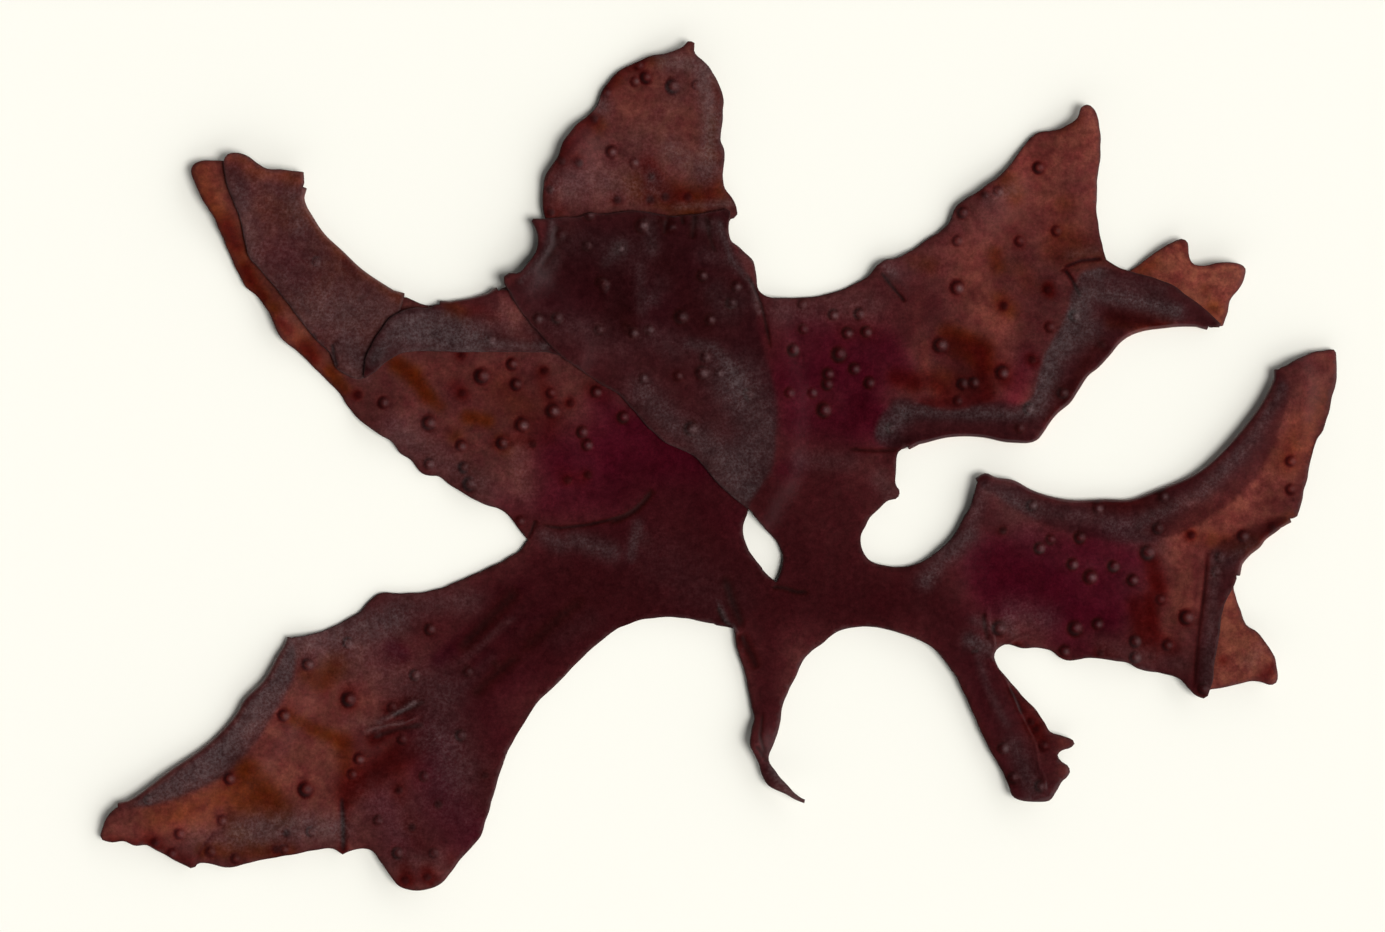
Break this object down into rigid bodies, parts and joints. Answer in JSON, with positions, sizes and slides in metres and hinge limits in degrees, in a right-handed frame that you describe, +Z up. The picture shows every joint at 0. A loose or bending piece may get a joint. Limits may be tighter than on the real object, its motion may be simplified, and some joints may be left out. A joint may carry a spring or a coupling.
{
  "type": "mazzaella parvula thallus",
  "caption": "Thin, forked, dark red seaweed blade with folded and overlapping lobes, small bumps and a short twisted stipe, lying flat.",
  "frame": {"origin": "middle of the box, on the surface that the blade lies on", "axes": "+X along the longest way of the lying blade, from the lower left lobe to the right lobe, +Z up out of the surface, +Y away from the stipe"},
  "size_m": [0.1048, 0.0718, 0.0019],
  "materials": {
    "thallus": "wet, fleshy and glossy, dark red-brown where one layer deep and purple-black where layers lie on each other"
  },
  "bodies": {
    "root": {"thallus": "thallus"}
  },
  "joints": []
}
